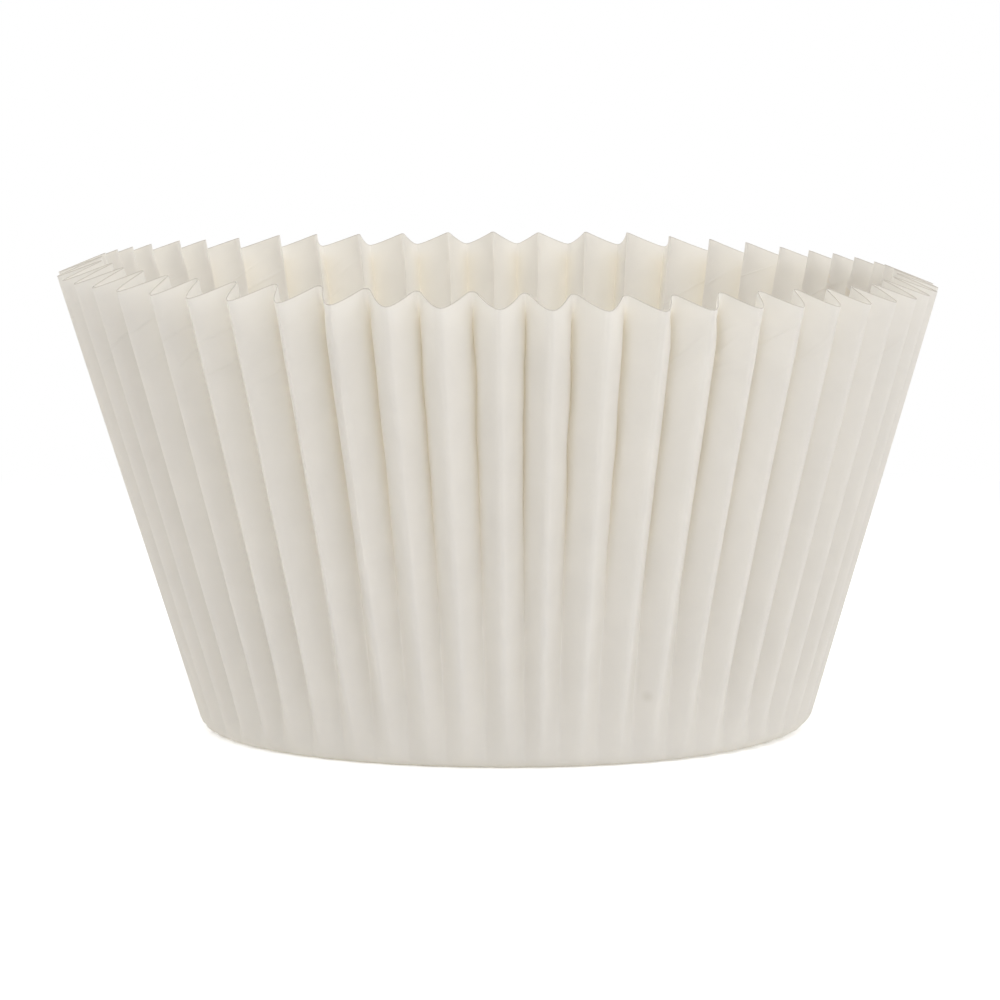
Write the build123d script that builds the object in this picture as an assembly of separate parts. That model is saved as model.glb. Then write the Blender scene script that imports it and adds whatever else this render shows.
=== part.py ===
"""Pleated paper cupcake liner: one round sheet of greaseproof paper, pressed into a fluted cup.

Millimetres, +Z up. The origin is the centre of the flat base's underside, on the table.
The sheet is one piece. Its flat base turns up through a small bend into a flared wall, where the
spare paper of the round sheet is taken up by even pleats. Each pleat has a rounded outer fold and
a sharp inner fold, and the cut edge at the rim zigzags because inner folds stand steeper.
"""

from build123d import *
from math import asin, atan2, cos, hypot, pi, sin, sqrt, tan
import os

# Driving dimensions
pleat_count = 52
paper_thickness = 0.06
base_radius = 24.7  # flat part of the base, up to where the paper starts to bend up
bend_radius = 1.1  # bend between base and wall, along an outer fold
rim_radius = 37.0  # over the outer folds, at the rim
outer_fold_height = 37.9  # rim height at an outer fold
inner_fold_rise = 1.3  # how much higher the rim is at an inner fold

# Shape of one half pleat, as shares of the way from its outer fold to its inner fold
crest_roundness = 0.46  # how far the rounded outer fold stays level
flank_start = 0.62  # where the rounding has turned into the straight flank
flank_drop = 0.42  # how much of the pleat's depth is reached there

half_pitch = pi / pleat_count  # angle from an outer fold to the next inner fold


def wall_lean():
    """Angle from vertical of an outer fold: the line through the rim, tangent to the bend."""
    across = rim_radius - base_radius
    up = outer_fold_height - bend_radius
    return atan2(across, up) - asin(bend_radius / hypot(across, up))


lean = wall_lean()
bend_reach = bend_radius * tan((pi / 2 - lean) / 2)  # from the bend's ends to its tangents' crossing
foot_radius = base_radius + bend_reach  # where the outer fold's line would meet the table
fold_slope = tan(lean)


def pleat_depth(height, radius):
    """Radial depth that takes up the sheet's spare width at this height of the wall."""
    sheet_radius = foot_radius + height / cos(lean)
    return pi / pleat_count * sqrt(sheet_radius**2 - radius**2)


def outer_side(crest_radius, crest_height, depth, rise):
    """Control points of half a pleat on the outer side, from its outer fold to its inner fold."""
    valley_radius = crest_radius - depth
    valley = Vector(valley_radius * cos(half_pitch), valley_radius * sin(half_pitch), crest_height + rise)
    crest = Vector(crest_radius, 0, crest_height)
    # where the outer fold is level, and where the flank starts
    level = Vector(crest_radius, valley.Y * crest_roundness, crest_height)
    share = flank_drop * depth
    turn_radius = crest_radius - share
    turn_angle = half_pitch * flank_start
    turn = Vector(turn_radius * cos(turn_angle), turn_radius * sin(turn_angle), crest_height + rise * flank_drop)
    return [crest, level, turn, valley]


def crossing(start, direction, other_start, other_direction):
    """Where two lines meet in plan."""
    away = other_start - start
    along = (away.X * other_direction.Y - away.Y * other_direction.X) / (
        direction.X * other_direction.Y - direction.Y * other_direction.X
    )
    return start + direction * along


def inner_side(points):
    """The same control points, moved inwards by the paper's thickness."""
    shift = paper_thickness / cos(lean)
    legs = []
    for start, end in zip(points, points[1:]):
        direction = Vector(end.X - start.X, end.Y - start.Y, 0).normalized()
        inward = Vector(-direction.Y, direction.X, 0)
        legs.append((start + inward * shift, direction))
    crest_plane = (Vector(0, 0, 0), Vector(1, 0, 0))
    valley_plane = (Vector(0, 0, 0), Vector(cos(half_pitch), sin(half_pitch), 0))
    lines = [crest_plane, *legs, valley_plane]
    moved = [crossing(*one, *two) for one, two in zip(lines, lines[1:])]
    return [Vector(m.X, m.Y, p.Z) for m, p in zip(moved, points)]


def ring(radius, height):
    """Control points of half a pleat's share of a circle."""
    handle = 4 / 3 * tan(half_pitch / 4) * radius
    start = Vector(radius, 0, height)
    end = Vector(radius * cos(half_pitch), radius * sin(half_pitch), height)
    back = Vector(sin(half_pitch), -cos(half_pitch), 0)
    return [start, start + Vector(0, handle, 0), end + back * handle, end]


def down_to(height, low, high):
    """Each line from the high row through the low row, carried on down to a height."""
    return [h + (l - h) * ((h.Z - height) / (h.Z - l.Z)) for l, h in zip(low, high)]


def between(low, high, share):
    """Each point this share of the way from the low row to the high row."""
    return [l + (h - l) * share for l, h in zip(low, high)]


def wall_rows():
    """Rows of control points up the sheet's outer side: foot of the wall, its middle and its rim."""
    middle_height = outer_fold_height / 2
    middle_radius = foot_radius + middle_height * fold_slope
    rim_depth = pleat_depth(outer_fold_height, rim_radius)
    middle_depth = pleat_depth(middle_height, middle_radius)
    # a quadratic curve passes at middle_depth if its middle control point lies this deep
    control_depth = (4 * middle_depth - rim_depth) / 2
    foot = ring(foot_radius, 0)
    middle = outer_side(middle_radius, middle_height, control_depth, inner_fold_rise / 2)
    rim = outer_side(rim_radius, outer_fold_height, rim_depth, inner_fold_rise)
    return foot, middle, rim


def half_pleat_faces():
    """Faces of half a pleat: bend and wall on both sides of the paper, and the cut edge at the rim."""
    foot, middle, rim = wall_rows()
    bend_share = bend_reach * cos(lean) / (outer_fold_height / 2)
    outer_bend_top = between(foot, middle, bend_share)
    inner_middle = inner_side(middle)
    inner_rim = inner_side(rim)
    inner_bend_top = inner_side(outer_bend_top)
    inner_foot = down_to(paper_thickness, inner_bend_top, inner_middle)
    rows = [
        [ring(base_radius, 0), foot, outer_bend_top],
        [outer_bend_top, middle, rim],
        [ring(base_radius, paper_thickness), inner_foot, inner_bend_top],
        [inner_bend_top, inner_middle, inner_rim],
        [rim, inner_rim],
    ]
    return [Face.make_bezier_surface(r) for r in rows]


def base_edges(height):
    """The edge of the flat base as the same short curves that the bend's faces start from."""
    edges = []
    for n in range(pleat_count):
        half = Edge.make_bezier(*ring(base_radius, height))
        turn = n * 360 / pleat_count
        edges += [half.rotate(Axis.Z, turn), half.mirror(Plane.XZ).rotate(Axis.Z, turn)]
    return edges


def liner():
    half = half_pleat_faces()
    pleat = half + [f.mirror(Plane.XZ) for f in half]
    faces = [f.rotate(Axis.Z, n * 360 / pleat_count) for n in range(pleat_count) for f in pleat]
    faces += [Face(Wire(base_edges(z))) for z in (0, paper_thickness)]
    return Solid(Shell(faces))


paper_cup = liner()
os.makedirs("parts", exist_ok=True)
export_step(paper_cup, "parts/pleated_paper_liner.step")
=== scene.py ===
"""Looks of the pleated paper cupcake liner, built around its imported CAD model.

Metres, +Z up, the origin at the centre of the flat base, as in the CAD model. The camera is on the
-Y side, so the cup's front faces -Y and its right is +X.
"""

from math import cos, pi, radians, sin

import bpy
from mathutils import Matrix, Vector

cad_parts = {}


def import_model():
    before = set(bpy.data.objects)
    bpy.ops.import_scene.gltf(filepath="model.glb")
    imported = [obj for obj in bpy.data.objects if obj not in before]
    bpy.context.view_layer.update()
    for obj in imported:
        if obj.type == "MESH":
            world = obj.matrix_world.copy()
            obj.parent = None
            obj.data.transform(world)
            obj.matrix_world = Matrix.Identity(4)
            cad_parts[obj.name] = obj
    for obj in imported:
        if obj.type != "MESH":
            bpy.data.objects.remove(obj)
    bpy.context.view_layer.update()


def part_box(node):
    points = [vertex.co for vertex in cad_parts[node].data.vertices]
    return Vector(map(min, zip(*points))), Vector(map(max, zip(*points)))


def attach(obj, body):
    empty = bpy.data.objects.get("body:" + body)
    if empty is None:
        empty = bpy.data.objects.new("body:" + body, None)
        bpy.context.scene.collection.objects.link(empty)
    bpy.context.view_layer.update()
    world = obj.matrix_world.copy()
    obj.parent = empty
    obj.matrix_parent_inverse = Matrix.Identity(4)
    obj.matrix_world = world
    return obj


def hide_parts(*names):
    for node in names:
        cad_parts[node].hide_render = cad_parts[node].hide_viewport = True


MM = 0.001

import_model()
NODE = "pleated_paper_liner"

# Sizes of the folded sheet, close to the CAD model's
PLEATS = 52
PAPER = 0.06 * MM
RIM_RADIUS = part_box(NODE)[1].x
OUTER_FOLD_HEIGHT = 37.9 * MM
FOLD_RISE = 0.4  # how much an inner fold rises for each unit it lies inwards
FOOT_RADIUS = 25.5 * MM  # where the outer folds' lines would meet the table
BEND = 1.2 * MM

# How uneven the rim and the bend are
LOOSE_BEND = 2.3 * MM  # the bend at the right, where the paper has sprung back
LOOSE_FROM = 0.35  # cosine of the angle from +X within which the bend loosens
LOW_RIGHT = 1.1 * MM  # how much less paper stands up where it is loosest
LOW_BACK = 0.17 * MM  # how much less stands up at the back
LOW_FRONT_LEFT = -0.2 * MM
LOW_FRONT_RIGHT = 0.38 * MM
FRONT_CHANGE = 0.3  # sine of the angle from the front's middle within which the last two blend
RIM_WAVE = 0.4 * MM  # scale of the cut edge's rise and fall round the rim
WAVE_FREQUENCY = 2.2
LEAN = -0.5 * MM  # how far the rim has shifted in x from above the base

# How uneven the pleats are
SIDES_DEEPER = 0.28  # pleats at the two sides are pushed this much deeper
FIRST_FOLD = 0.794  # where the first outer fold is, in pleats from +X
FOLD_CROWDING = 0.16  # how many pleats' width the folds crowd towards one side
FOLD_ERROR = 0.05  # how far a fold is out of place, in pleats
DEPTH_ERROR = 0.05  # how much deeper or shallower a fold is
CREASE_WANDER = 0.8  # scale of a crease's wandering on its way down, in pleats
WANDER_LENGTH = 5 * MM
CREASES_APART = 3.7  # how far apart neighbouring creases are in the noise, so that they differ

# What changes from the base's centre, 0, to the cut edge, 1, as (place, value) joined by lines
EXTRA_DEPTH = [(0, 0.4), (0.5, 0.4), (0.7, 0.12), (0.85, 0), (1, 0)]  # the die presses in the low part
ROUNDING = [(0, 0.2), (0.5, 0.2), (0.85, 0.18), (0.96, 0.22), (1, 0.36)]  # of an outer fold
SOFTNESS = [  # of an inner fold: soft low down, and opened again just under the cut edge
    (0, 0.05), (0.45, 0.07), (0.6, 0.08), (0.7, 0.06), (0.85, 0.03), (0.96, 0.04), (0.98, 0.15), (1, 0.17)
]
PINCH = [  # how much of an inner fold's depth is a crease
    (0, 0), (0.5, 0), (0.66, 0.1), (0.8, 0.2), (0.94, 0.26), (0.96, 0.18), (0.98, 0), (1, 0)
]
CREASE_POWER = 14  # how narrow a crease is
PINCH_GAIN = 0.6  # creases are pinched this much more at the right, and less at the left
BACK_ROUNDING = 0.5  # these three are shares of what the folds have at the front
BACK_SOFTNESS = 0.2
BACK_PINCH = 0.1

# How finely the sheet is divided
STEPS_PER_PLEAT = 20
CROWDING = 1.5  # how strongly the steps crowd towards the inner folds
ROWS = 46
ROW_PLACES = [(0, 0), (0.03, 0.33), (0.06, 0.37), (0.2, 0.42), (0.84, 0.95), (1, 1)]  # few in the flat base
BEND_STEPS = 12

# Names of the sheet's attributes
FROM_EDGE = "from_edge"  # a point's distance from the cut edge, along the sheet
FOLD_SHARE = "fold_share"  # 0 at an outer fold and 1 at an inner fold

# Marks on the paper
SPECK = Vector((11.4, -24, 5.7)) * MM
WRINKLE_HEIGHT = 34 * MM


def linear(hex_colour):
    """Linear RGBA of an sRGB hex colour."""
    channels = [int(hex_colour[i : i + 2], 16) / 255 for i in (1, 3, 5)]
    return (*[c / 12.92 if c <= 0.04045 else ((c + 0.055) / 1.055) ** 2.4 for c in channels], 1)


def add(tree, kind, *inputs, **settings):
    """Adds a node with its settings, and gives its enabled inputs these in turn.

    Each is None, which leaves the input alone, a value, a socket, or a node, for its first output.
    """
    made = tree.nodes.new(kind)
    for name, value in settings.items():
        setattr(made, name, value)
    sockets = [s for s in made.inputs if s.enabled]
    for socket, value in zip(sockets, inputs):
        if isinstance(value, bpy.types.Node):
            value = next(s for s in value.outputs if s.enabled)
        if isinstance(value, bpy.types.NodeSocket):
            tree.links.new(value, socket)
        elif value is not None:
            socket.default_value = value
    return made


def set_curve(node, points):
    """Gives a curve node these points, joined by straight lines."""
    curve = node.mapping.curves[0]
    while len(curve.points) < len(points):
        curve.points.new(0, 0)
    for point, place in zip(curve.points, points):
        point.location = place
        point.handle_type = "VECTOR"
    node.mapping.update()
    return node


# ---------------------------------------------------------------------------
# The folded sheet
# ---------------------------------------------------------------------------


def tree_inputs(tree):
    """Gives the tree its output and its named inputs. Returns each input's identifier and value."""
    face = tree.interface
    face.new_socket("Geometry", in_out="OUTPUT", socket_type="NodeSocketGeometry")
    inputs = {}
    for name, kind, value in (
        ("Pleats", "Int", PLEATS),
        ("Steps per pleat", "Int", STEPS_PER_PLEAT),
        ("Rows", "Int", ROWS),
        ("Foot radius", "Float", FOOT_RADIUS),
        ("Rim radius", "Float", RIM_RADIUS),
        ("Height", "Float", OUTER_FOLD_HEIGHT),
        ("Fold rise", "Float", FOLD_RISE),
        ("Bend", "Float", BEND),
        ("Loose bend", "Float", LOOSE_BEND),
        ("Low right", "Float", LOW_RIGHT),
        ("Low back", "Float", LOW_BACK),
        ("Low front left", "Float", LOW_FRONT_LEFT),
        ("Low front right", "Float", LOW_FRONT_RIGHT),
        ("Rim wave", "Float", RIM_WAVE),
        ("Lean", "Float", LEAN),
        ("Sides deeper", "Float", SIDES_DEEPER),
        ("First fold", "Float", FIRST_FOLD),
        ("Fold crowding", "Float", FOLD_CROWDING),
        ("Fold error", "Float", FOLD_ERROR),
        ("Depth error", "Float", DEPTH_ERROR),
        ("Crease wander", "Float", CREASE_WANDER),
        ("Seed", "Int", 7),
        ("Paper", "Material", None),
    ):
        socket = face.new_socket(name, in_out="INPUT", socket_type="NodeSocket" + kind)
        inputs[name] = (socket.identifier, value)
    return inputs


def grid_places(tree, given):
    """A grid that stands for the sheet, and where each of its points is, from 0 to 1 across and up."""
    columns = add(tree, "ShaderNodeMath", given["Pleats"], given["Steps per pleat"], operation="MULTIPLY")
    columns = add(tree, "ShaderNodeMath", columns, 1, operation="ADD")
    rows = add(tree, "ShaderNodeMath", given["Rows"], 1, operation="ADD")
    sheet = add(tree, "GeometryNodeMeshGrid", 1, 1, columns, rows)
    place = add(tree, "ShaderNodeSeparateXYZ", add(tree, "GeometryNodeInputPosition"))
    across = add(tree, "ShaderNodeMath", place.outputs["X"], 0.5, operation="ADD")
    up = add(tree, "ShaderNodeMath", place.outputs["Y"], 0.5, operation="ADD")
    return sheet, across, up


def fold_places(tree, turns):
    """Numbers of the nearest folds, the share of the way from outer to inner, and the evened place.

    turns counts pleats: whole numbers are outer folds, and halfway between them are inner folds.
    """
    outer_number = add(tree, "ShaderNodeMath", turns, operation="ROUND")
    inner_number = add(tree, "ShaderNodeMath", turns, operation="FLOOR")
    side = add(tree, "ShaderNodeMath", turns, outer_number, operation="SUBTRACT")
    twice = add(tree, "ShaderNodeMath", side, 2, operation="MULTIPLY")
    even_share = add(tree, "ShaderNodeMath", twice, operation="ABSOLUTE")
    # columns crowd towards the inner fold, where the sheet bends most
    left = add(tree, "ShaderNodeMath", 1, even_share, operation="SUBTRACT")
    crowded = add(tree, "ShaderNodeMath", left, CROWDING, operation="POWER")
    share = add(tree, "ShaderNodeMath", 1, crowded, operation="SUBTRACT")
    half = add(tree, "ShaderNodeMath", share, 0.5, operation="MULTIPLY")
    signed = add(tree, "ShaderNodeMath", side, operation="SIGN")
    moved = add(tree, "ShaderNodeMath", half, signed, outer_number, operation="MULTIPLY_ADD")
    return outer_number, inner_number, share, moved


def sheet_edge(tree, given, wall, looseness, towards_x, towards_y):
    """The sheet's radius, which varies round it because its cut edge is uneven once it is folded."""
    round_cup = add(tree, "ShaderNodeCombineXYZ", towards_x, towards_y, 0)
    wave = add(tree, "ShaderNodeTexNoise", round_cup, WAVE_FREQUENCY, 1.0, 0.5)
    wave = add(tree, "ShaderNodeMath", wave, -0.5, operation="ADD")
    wave = add(tree, "ShaderNodeMath", wave, given["Rim wave"], operation="MULTIPLY")
    radius = add(tree, "ShaderNodeMath", wall, given["Foot radius"], operation="ADD")
    radius = add(tree, "ShaderNodeMath", radius, wave, operation="ADD")

    low_right = add(tree, "ShaderNodeMath", looseness, given["Low right"], operation="MULTIPLY")
    radius = add(tree, "ShaderNodeMath", radius, low_right, operation="SUBTRACT")

    backwards = add(tree, "ShaderNodeMapRange", towards_y, -1, 1, 0, 1)
    low_front = add(
        tree,
        "ShaderNodeMapRange",
        towards_x,
        -FRONT_CHANGE,
        FRONT_CHANGE,
        given["Low front left"],
        given["Low front right"],
        interpolation_type="SMOOTHSTEP",
    )
    low = add(tree, "ShaderNodeMix", backwards, low_front, given["Low back"])
    return add(tree, "ShaderNodeMath", radius, low, operation="SUBTRACT")


def fold_line(tree, foot, rim, bend):
    """The line of an outer fold: out from the base's centre, round the bend and up to past the rim."""
    line = add(tree, "GeometryNodeCurvePrimitiveLine", (0, 0, 0), rim)
    corner = add(tree, "GeometryNodeSubdivideCurve", line, 1)
    index = add(tree, "GeometryNodeInputIndex")
    middle = add(tree, "FunctionNodeCompare", index, 1, data_type="INT", operation="EQUAL")
    bent = add(tree, "GeometryNodeSetPosition", corner, middle, foot)
    return add(tree, "GeometryNodeFilletCurve", bent, BEND_STEPS, bend, mode="POLY")


def on_outer_fold(tree, given, foot, rim, along, looseness):
    """Where a row is on the line of an outer fold, which bends more loosely on one side."""
    reach = 1.05  # the line goes on past the rim, so that a high place of the cut edge is still on it
    past_rim = add(tree, "ShaderNodeVectorMath", rim, foot, operation="SUBTRACT")
    past_rim = add(tree, "ShaderNodeVectorMath", past_rim, reach, operation="SCALE")
    past_rim = add(tree, "ShaderNodeVectorMath", past_rim, foot, operation="ADD")
    places = []
    for bend in ("Bend", "Loose bend"):
        line = fold_line(tree, foot, past_rim, given[bend])
        on_line = add(tree, "GeometryNodeSampleCurve", line, None, along, mode="LENGTH")
        places.append(on_line.outputs["Position"])
    outer = add(tree, "ShaderNodeMix", looseness, *places, data_type="VECTOR")
    return add(tree, "ShaderNodeSeparateXYZ", outer).outputs


def pleat_depth(tree, given, along, outer_radius, row_share, towards_x):
    """Depth of the pleats: it takes up the sheet's spare width at this radius."""
    half_turn = add(tree, "ShaderNodeMath", pi, given["Pleats"], operation="DIVIDE")
    flat = add(tree, "ShaderNodeMath", along, along, operation="MULTIPLY")
    folded = add(tree, "ShaderNodeMath", outer_radius, outer_radius, operation="MULTIPLY")
    spare = add(tree, "ShaderNodeMath", flat, folded, operation="SUBTRACT")
    spare = add(tree, "ShaderNodeMath", spare, 0, operation="MAXIMUM")
    spare = add(tree, "ShaderNodeMath", spare, operation="SQRT")
    depth = add(tree, "ShaderNodeMath", spare, half_turn, operation="MULTIPLY")

    # deeper at the two sides, where the wall is squeezed, and low down
    squeezed = add(tree, "ShaderNodeMath", towards_x, towards_x, operation="MULTIPLY")
    squeezed = add(tree, "ShaderNodeMath", squeezed, given["Sides deeper"], 1, operation="MULTIPLY_ADD")
    depth = add(tree, "ShaderNodeMath", depth, squeezed, operation="MULTIPLY")
    extra = set_curve(add(tree, "ShaderNodeFloatCurve", 1, row_share), EXTRA_DEPTH)
    return add(tree, "ShaderNodeMath", depth, extra, depth, operation="MULTIPLY_ADD")


def pleat_section(tree, share, row_share, towards_x, towards_y):
    """Share of a pleat's depth at each point, and the part of it that is a crease.

    The flank is straight from a rounded outer fold to a soft or pinched inner fold.
    """
    rounding = set_curve(add(tree, "ShaderNodeFloatCurve", 1, row_share), ROUNDING)
    at_back = add(tree, "ShaderNodeMapRange", towards_y, -1, 1, 1, BACK_ROUNDING)
    rounding = add(tree, "ShaderNodeMath", rounding, at_back, operation="MULTIPLY")
    rounding_squared = add(tree, "ShaderNodeMath", rounding, rounding, operation="MULTIPLY")
    # a hyperbola, level at the outer fold and steepest at the inner one, runs from 0 to 1
    flank = add(tree, "ShaderNodeMath", share, share, rounding_squared, operation="MULTIPLY_ADD")
    flank = add(tree, "ShaderNodeMath", flank, operation="SQRT")
    whole = add(tree, "ShaderNodeMath", rounding_squared, 1, operation="ADD")
    whole = add(tree, "ShaderNodeMath", whole, operation="SQRT")
    flank = add(tree, "ShaderNodeMapRange", flank, rounding, whole, 0, 1)

    # the inner fold is soft low down and at the cut edge
    softness = set_curve(add(tree, "ShaderNodeFloatCurve", 1, row_share), SOFTNESS)
    at_back = add(tree, "ShaderNodeMapRange", towards_y, -1, 1, 1, BACK_SOFTNESS)
    softness = add(tree, "ShaderNodeMath", softness, at_back, operation="MULTIPLY")
    cap = add(tree, "ShaderNodeMath", 1, softness, operation="SUBTRACT")
    flank = add(tree, "ShaderNodeMath", flank, cap, softness, operation="SMOOTH_MIN")

    # high up, but under the cut edge, it is pinched into a crease, most at the right
    pinch = set_curve(add(tree, "ShaderNodeFloatCurve", 1, row_share), PINCH)
    harder = add(tree, "ShaderNodeMath", towards_x, PINCH_GAIN, 1, operation="MULTIPLY_ADD")
    pinch = add(tree, "ShaderNodeMath", pinch, harder, operation="MULTIPLY")
    at_back = add(tree, "ShaderNodeMapRange", towards_y, 0.2, 0.8, 1, BACK_PINCH)
    pinch = add(tree, "ShaderNodeMath", pinch, at_back, operation="MULTIPLY")
    crease = add(tree, "ShaderNodeMath", share, CREASE_POWER, operation="POWER")
    section = add(tree, "ShaderNodeMix", pinch, flank, crease)
    creased = add(tree, "ShaderNodeMath", crease, pinch, operation="MULTIPLY")
    return section, creased


def fold_errors(tree, given, outer_number, inner_number, section):
    """Every fold's own small errors, from -1 to 1, which run into each other along the flanks."""
    wrapped = add(tree, "ShaderNodeMath", outer_number, given["Pleats"], operation="MODULO")
    next_seed = add(tree, "ShaderNodeMath", given["Seed"], 1, operation="ADD")
    limits = (-1, -1, -1), (1, 1, 1)
    at_folds = []
    for number, seed in ((wrapped, given["Seed"]), (inner_number, next_seed)):
        error = add(tree, "FunctionNodeRandomValue", *limits, number, seed, data_type="FLOAT_VECTOR")
        at_folds.append(error)
    error = add(tree, "ShaderNodeMix", section, *at_folds, data_type="VECTOR")
    return add(tree, "ShaderNodeSeparateXYZ", error).outputs


def crease_wander(tree, given, along, inner_number, creased):
    """How far a crease wanders sideways on its way down, in pleats."""
    down = add(tree, "ShaderNodeMath", along, WANDER_LENGTH, operation="DIVIDE")
    crease_number = add(tree, "ShaderNodeMath", inner_number, CREASES_APART, operation="MULTIPLY")
    on_crease = add(tree, "ShaderNodeCombineXYZ", crease_number, down, 0)
    wander = add(tree, "ShaderNodeTexNoise", on_crease, 1.0, 1.0, 0.5)
    wander = add(tree, "ShaderNodeMath", wander, -0.5, operation="ADD")
    wander = add(tree, "ShaderNodeMath", wander, creased, operation="MULTIPLY")
    return add(tree, "ShaderNodeMath", wander, given["Crease wander"], operation="MULTIPLY")


def cup_tree():
    """Geometry nodes that fold a round sheet into a pleated cup.

    A grid stands for the sheet: X runs round it and Y from its centre to its cut edge. Each row is
    taken to its place on the outer fold's line, and the sheet's spare width there goes into pleats.
    """
    tree = bpy.data.node_groups.new("Pleated cup", "GeometryNodeTree")
    inputs = tree_inputs(tree)
    given = add(tree, "NodeGroupInput").outputs
    sheet, across, up = grid_places(tree, given)
    turns = add(tree, "ShaderNodeMath", across, given["Pleats"], operation="MULTIPLY")
    outer_number, inner_number, share, moved = fold_places(tree, turns)

    # rough direction round the cup, for what changes slowly round it
    rough_angle = add(tree, "ShaderNodeMath", across, 2 * pi, operation="MULTIPLY")
    towards_x = add(tree, "ShaderNodeMath", rough_angle, operation="COSINE")
    towards_y = add(tree, "ShaderNodeMath", rough_angle, operation="SINE")
    loose = {"interpolation_type": "SMOOTHSTEP"}
    looseness = add(tree, "ShaderNodeMapRange", towards_x, LOOSE_FROM, 1.0, 0, 1, **loose)

    # how far out on the sheet this row is, and where that is on the line of an outer fold
    foot = add(tree, "ShaderNodeCombineXYZ", given["Foot radius"], 0, 0)
    rim = add(tree, "ShaderNodeCombineXYZ", given["Rim radius"], 0, given["Height"])
    wall = add(tree, "ShaderNodeVectorMath", rim, foot, operation="DISTANCE").outputs["Value"]
    edge = sheet_edge(tree, given, wall, looseness, towards_x, towards_y)
    row_share = set_curve(add(tree, "ShaderNodeFloatCurve", 1, up), ROW_PLACES)
    along = add(tree, "ShaderNodeMath", row_share, edge, operation="MULTIPLY")
    outer = on_outer_fold(tree, given, foot, rim, along, looseness)

    depth = pleat_depth(tree, given, along, outer["X"], row_share, towards_x)
    section, creased = pleat_section(tree, share, row_share, towards_x, towards_y)
    errors = fold_errors(tree, given, outer_number, inner_number, section)

    # the angle round the cup: the folds are a little closer together on one side
    crowding = add(tree, "ShaderNodeMath", towards_y, given["Fold crowding"], operation="MULTIPLY")
    shift = add(tree, "ShaderNodeMath", given["First fold"], crowding, operation="SUBTRACT")
    shift = add(tree, "ShaderNodeMath", errors["X"], given["Fold error"], shift, operation="MULTIPLY_ADD")
    wander = crease_wander(tree, given, along, inner_number, creased)
    shift = add(tree, "ShaderNodeMath", shift, wander, operation="ADD")
    turned = add(tree, "ShaderNodeMath", moved, shift, operation="ADD")
    pitch = add(tree, "ShaderNodeMath", 2 * pi, given["Pleats"], operation="DIVIDE")
    angle = add(tree, "ShaderNodeMath", turned, pitch, operation="MULTIPLY")

    # the place in the cup
    deeper = add(tree, "ShaderNodeMath", errors["Y"], given["Depth error"], 1, operation="MULTIPLY_ADD")
    inwards = add(tree, "ShaderNodeMath", depth, section, operation="MULTIPLY")
    inwards = add(tree, "ShaderNodeMath", inwards, deeper, operation="MULTIPLY")
    radius = add(tree, "ShaderNodeMath", outer["X"], inwards, operation="SUBTRACT")
    height = add(tree, "ShaderNodeMath", inwards, given["Fold rise"], outer["Z"], operation="MULTIPLY_ADD")
    slant = add(tree, "ShaderNodeMath", given["Lean"], given["Height"], operation="DIVIDE")
    leaning = add(tree, "ShaderNodeMath", height, slant, operation="MULTIPLY")
    cosine = add(tree, "ShaderNodeMath", angle, operation="COSINE")
    sine = add(tree, "ShaderNodeMath", angle, operation="SINE")
    x = add(tree, "ShaderNodeMath", radius, cosine, leaning, operation="MULTIPLY_ADD")
    y = add(tree, "ShaderNodeMath", radius, sine, operation="MULTIPLY")
    place = add(tree, "ShaderNodeCombineXYZ", x, y, height)

    # the attributes are stored before the grid is folded, because they are worked out from its places
    below = add(tree, "ShaderNodeMath", edge, along, operation="SUBTRACT")
    marked = add(tree, "GeometryNodeStoreNamedAttribute", sheet, None, FROM_EDGE, below)
    marked = add(tree, "GeometryNodeStoreNamedAttribute", marked, None, FOLD_SHARE, share)
    folded = add(tree, "GeometryNodeSetPosition", marked, None, place)
    closed = add(tree, "GeometryNodeMergeByDistance", folded, None, 0.001 * MM)
    smooth = add(tree, "GeometryNodeSetShadeSmooth", closed)
    real = add(tree, "GeometryNodeRealizeInstances", smooth)
    finished = add(tree, "GeometryNodeSetMaterial", real, None, given["Paper"])
    add(tree, "NodeGroupOutput", finished)
    return tree, inputs


def folded_sheet(paper):
    """The whole cup as one plain mesh, with the paper's thickness."""
    tree, inputs = cup_tree()
    maker = bpy.data.objects.new("maker", bpy.data.meshes.new("maker"))
    bpy.context.scene.collection.objects.link(maker)
    nodes = maker.modifiers.new("Pleated cup", "NODES")
    nodes.node_group = tree
    for name, (identifier, value) in inputs.items():
        nodes[identifier] = paper if name == "Paper" else value
    wall = maker.modifiers.new("Paper thickness", "SOLIDIFY")
    wall.thickness = PAPER
    wall.offset = -1
    evaluated = maker.evaluated_get(bpy.context.evaluated_depsgraph_get())
    mesh = bpy.data.meshes.new_from_object(evaluated)
    bpy.data.objects.remove(maker)
    mesh.name = "paper_cup"
    mesh.set_sharp_from_angle(angle=radians(55))
    cup = bpy.data.objects.new("paper_cup", mesh)
    bpy.context.scene.collection.objects.link(cup)
    return cup


# ---------------------------------------------------------------------------
# Materials
# ---------------------------------------------------------------------------


def new_material(name):
    """A material with an empty node tree."""
    material = bpy.data.materials.new(name)
    material.use_nodes = True
    material.node_tree.nodes.clear()
    return material, material.node_tree


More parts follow.
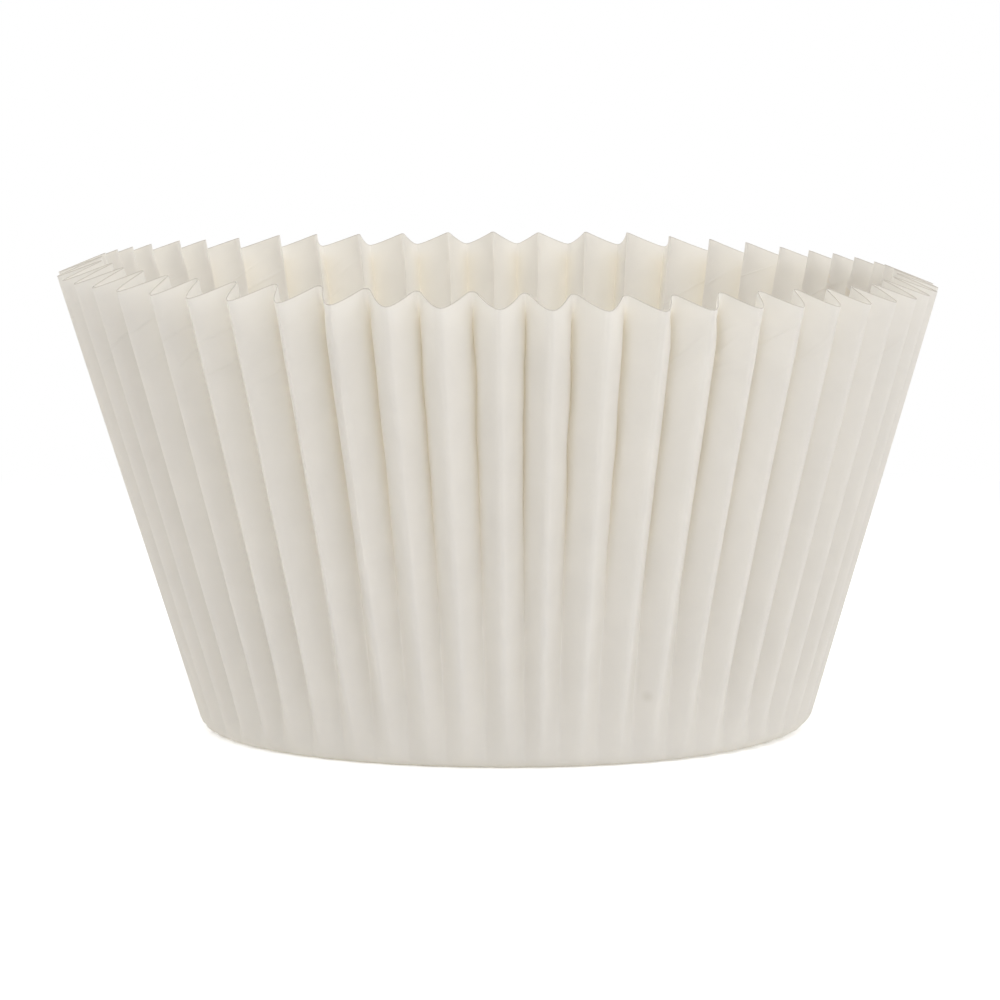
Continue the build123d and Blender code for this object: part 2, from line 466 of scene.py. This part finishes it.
def painted_fold_shade(tree, place, from_edge):
    """Painted shade: how far the paper is painted a darker gold in its hollow folds. Light bounces about in
    a hollow fold and comes out of it warmer, and this painted colour stands in for that.

    Outside, the hollows are the inner folds, and inside they are the outer folds.
    """
    most = 0.17
    fold_share = add(tree, "ShaderNodeAttribute", attribute_name=FOLD_SHARE).outputs["Fac"]
    facing = add(tree, "ShaderNodeNewGeometry").outputs["True Normal"]
    outwards = add(tree, "ShaderNodeVectorMath", facing, place, operation="DOT_PRODUCT").outputs["Value"]
    outside = add(tree, "ShaderNodeMath", outwards, 0, operation="GREATER_THAN")
    in_inner = add(tree, "ShaderNodeMath", fold_share, 8, operation="POWER")
    in_outer = add(tree, "ShaderNodeMath", 1, fold_share, operation="SUBTRACT")
    in_outer = add(tree, "ShaderNodeMath", in_outer, 3, operation="POWER")
    painted_gold_shade = add(tree, "ShaderNodeMix", outside, in_outer, in_inner)
    # none at the opened cut edge, nor low down, where the folds are shallow
    under_edge = add(tree, "ShaderNodeMapRange", from_edge, 0.5 * MM, 1.5 * MM, 0, most)
    high_up = add(tree, "ShaderNodeMapRange", from_edge, 16 * MM, 28 * MM, 1, 0)
    painted_gold_shade = add(tree, "ShaderNodeMath", painted_gold_shade, under_edge, operation="MULTIPLY")
    return add(tree, "ShaderNodeMath", painted_gold_shade, high_up, operation="MULTIPLY")


def speck_strength(tree, place):
    """How much of the one grey speck in the paper shows. It goes right through the front wall."""
    most = 0.22
    through_wall = Vector((1, 0.1, 1))  # distances along Y count a tenth
    flattened = add(tree, "ShaderNodeMapping", place, None, None, through_wall)
    away = add(tree, "ShaderNodeVectorMath", flattened, SPECK * through_wall, operation="DISTANCE")
    return add(tree, "ShaderNodeMapRange", away.outputs["Value"], 0.1 * MM, 0.6 * MM, most, 0)


def slanting_wrinkles(tree, place):
    """A few slanting wrinkles that handling has left under the rim, at both sides: 1 on their lines."""
    slant = (0, -0.55, 0)
    stretch = (3, 3, 0.6)
    slanting = add(tree, "ShaderNodeMapping", place, None, slant, stretch, vector_type="TEXTURE")
    lines = add(tree, "ShaderNodeTexNoise", slanting, 1 / (5 * MM), 1.0, 0.5)
    lines = add(tree, "ShaderNodeMath", lines, -0.5, operation="ADD")
    lines = add(tree, "ShaderNodeMath", lines, operation="ABSOLUTE")
    lines = add(tree, "ShaderNodeMapRange", lines, 0, 0.03, 1, 0, interpolation_type="SMOOTHSTEP")
    parts = add(tree, "ShaderNodeSeparateXYZ", place).outputs
    from_band = add(tree, "ShaderNodeMath", parts["Z"], WRINKLE_HEIGHT, operation="SUBTRACT")
    from_band = add(tree, "ShaderNodeMath", from_band, operation="ABSOLUTE")
    in_band = add(tree, "ShaderNodeMapRange", from_band, 1.5 * MM, 3.5 * MM, 1, 0)
    from_middle = add(tree, "ShaderNodeMath", parts["X"], operation="ABSOLUTE")
    at_sides = add(tree, "ShaderNodeMapRange", from_middle, 10 * MM, 15 * MM, 0, 1)
    lines = add(tree, "ShaderNodeMath", lines, in_band, operation="MULTIPLY")
    return add(tree, "ShaderNodeMath", lines, at_sides, operation="MULTIPLY")


def greaseproof_paper():
    """Bleached greaseproof paper, calendered: matt, near white, and warm where light comes through, with
    painted shade in its hollow folds and along its cut edge.
    """
    material, tree = new_material("greaseproof paper")
    place = add(tree, "ShaderNodeTexCoord").outputs["Object"]
    from_edge = add(tree, "ShaderNodeAttribute", attribute_name=FROM_EDGE).outputs["Fac"]

    # the fibres lie in faint clouds a few millimetres across
    clouds = add(tree, "ShaderNodeTexNoise", place, 1 / (3 * MM), 3.0, 0.6)
    # painted shade: the hollow folds are painted a darker gold, for the warm shade of light bouncing in
    # them
    painted_gold_shade = painted_fold_shade(tree, place, from_edge)
    # painted shade: the last tenth of a millimetre under the cut edge is painted grey, for the shaded line
    # along the rim
    edge = add(tree, "ShaderNodeMapRange", from_edge, 0.0, 0.09 * MM, 0.55, 0)
    colours = []
    # each row gives two cloud tones of the paper, then the darker gold painted into the hollow folds as
    # painted shade
    for thin, thick, painted_shade_gold in (
        ("#E9E9EE", "#F0F0F5", "#EBDCB9"),  # light off the face
        ("#F5F1E4", "#FBF7EA", "#F2E4C2"),  # light that comes through
    ):
        colour = add(tree, "ShaderNodeMix", clouds, linear(thin), linear(thick), data_type="RGBA")
        colour = add(tree, "ShaderNodeMix", painted_gold_shade, colour, linear(painted_shade_gold), data_type="RGBA")
        # painted shade: the grey line along the cut edge, in both colours
        colours.append(add(tree, "ShaderNodeMix", edge, colour, linear("#B5AEA4"), data_type="RGBA"))
    face, back = colours
    speck = speck_strength(tree, place)
    face = add(tree, "ShaderNodeMix", speck, face, linear("#8F8B84"), data_type="RGBA")

    # fibres run round the cup: short, fine and flat, and drawn coarser than real ones so that they show
    along_fibres = add(tree, "ShaderNodeMapping", place, None, None, (0.25, 0.25, 1))
    fibres = add(tree, "ShaderNodeTexNoise", along_fibres, 1 / (0.25 * MM), 2.0, 0.7)
    relief = add(tree, "ShaderNodeBump", 0.12, 0.02 * MM, None, fibres)
    wrinkles = slanting_wrinkles(tree, place)
    relief = add(tree, "ShaderNodeBump", 0.6, 0.07 * MM, None, wrinkles, relief)

    surface = add(tree, "ShaderNodeBsdfPrincipled", face)
    surface.inputs["Roughness"].default_value = 0.62
    surface.inputs["IOR"].default_value = 1.45
    surface.inputs["Specular IOR Level"].default_value = 0.3
    tree.links.new(relief.outputs["Normal"], surface.inputs["Normal"])
    through = add(tree, "ShaderNodeBsdfTranslucent", back)
    both = add(tree, "ShaderNodeMixShader", 0.47, surface, through)
    add(tree, "ShaderNodeOutputMaterial", both)
    return material


def seen_directly(tree):
    """1 for rays from the camera and for those that gloss or glass sends on, else 0."""
    ray = add(tree, "ShaderNodeLightPath").outputs
    seen = add(tree, "ShaderNodeMath", ray["Is Camera Ray"], ray["Is Glossy Ray"], operation="ADD")
    return add(tree, "ShaderNodeMath", seen, ray["Is Transmission Ray"], operation="ADD", use_clamp=True)


def white_table():
    """Matt white table that fades to pure white away from the cup."""
    material, tree = new_material("white table")
    white = (1, 1, 1, 1)
    surface = add(tree, "ShaderNodeBsdfDiffuse", linear("#F4F4F4"))
    lift = add(tree, "ShaderNodeEmission", white, 0.35)
    near = add(tree, "ShaderNodeAddShader", surface, lift)
    far = add(tree, "ShaderNodeEmission", white, 1.0)
    place = add(tree, "ShaderNodeTexCoord").outputs["Object"]
    away = add(tree, "ShaderNodeVectorMath", place, operation="LENGTH").outputs["Value"]
    fade = {"interpolation_type": "SMOOTHSTEP"}
    away = add(tree, "ShaderNodeMapRange", away, 60 * MM, 200 * MM, 0, 1, **fade)
    shown = add(tree, "ShaderNodeMixShader", away, near, far)
    table = add(tree, "ShaderNodeMixShader", seen_directly(tree), surface, shown)
    add(tree, "ShaderNodeOutputMaterial", table)
    return material


# ---------------------------------------------------------------------------
# Stage
# ---------------------------------------------------------------------------


def floor(size, material):
    """A flat floor, a hair below the base so that the two flat faces don't share one place."""
    low = -0.01 * MM
    corners = [(-size, -size, low), (size, -size, low), (size, size, low), (-size, size, low)]
    mesh = bpy.data.meshes.new("floor")
    mesh.from_pydata(corners, [], [(0, 1, 2, 3)])
    mesh.materials.append(material)
    piece = bpy.data.objects.new("floor", mesh)
    bpy.context.scene.collection.objects.link(piece)


def softbox(name, turn, elevation, power):
    """A square lamp aimed at the cup, turned this many degrees round it from the camera's side."""
    size = 0.5
    distance = 0.7
    aim = Vector((0, 0, 20)) * MM
    light = bpy.data.lights.new(name, "AREA")
    light.shape = "SQUARE"
    light.size = size
    light.energy = power
    piece = bpy.data.objects.new(name, light)
    away = Vector((0, -cos(radians(elevation)), sin(radians(elevation))))
    away.rotate(Matrix.Rotation(radians(turn), 3, "Z"))
    piece.location = aim + away * distance
    piece.rotation_euler = away.to_track_quat("Z", "Y").to_euler()
    bpy.context.scene.collection.objects.link(piece)


def world(strength):
    """Even white light, seen as white."""
    made = bpy.data.worlds.new("studio")
    made.use_nodes = True
    tree = made.node_tree
    tree.nodes.clear()
    white = (1, 1, 1, 1)
    light = add(tree, "ShaderNodeBackground", white, strength)
    backdrop = add(tree, "ShaderNodeBackground", white, 1)
    both = add(tree, "ShaderNodeMixShader", seen_directly(tree), light, backdrop)
    add(tree, "ShaderNodeOutputWorld", both)
    bpy.context.scene.world = made


def camera(aim, distance, elevation, lens):
    """The camera, this far from what it aims at and this many degrees above it."""
    data = bpy.data.cameras.new("camera")
    data.lens = lens
    data.sensor_width = 36
    data.clip_start = 0.01
    piece = bpy.data.objects.new("camera", data)
    back = Vector((0, -cos(radians(elevation)), sin(radians(elevation))))
    piece.location = aim + back * distance
    piece.rotation_euler = (-back).to_track_quat("-Z", "Y").to_euler()
    bpy.context.scene.collection.objects.link(piece)
    bpy.context.scene.camera = piece


cup = folded_sheet(greaseproof_paper())
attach(cup, "root")
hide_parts(NODE)

floor(3.0, white_table())
world(0.35)
for name, turn, elevation, power in (
    ("high front", 0, 55, 1.32),
    ("high right", 90, 55, 1.65),
    ("high left", -90, 55, 1.28),
    ("right front", 45, 20, 0.7),
    ("low back", 180, 20, 1.6),
    ("left back", -135, 20, 0.4),
):
    softbox(name, turn, elevation, power)
camera(aim=Vector((-0.5, 0, 19)) * MM, distance=554.7 * MM, elevation=6.384, lens=237.16)

bpy.context.scene.view_settings.view_transform = "Standard"
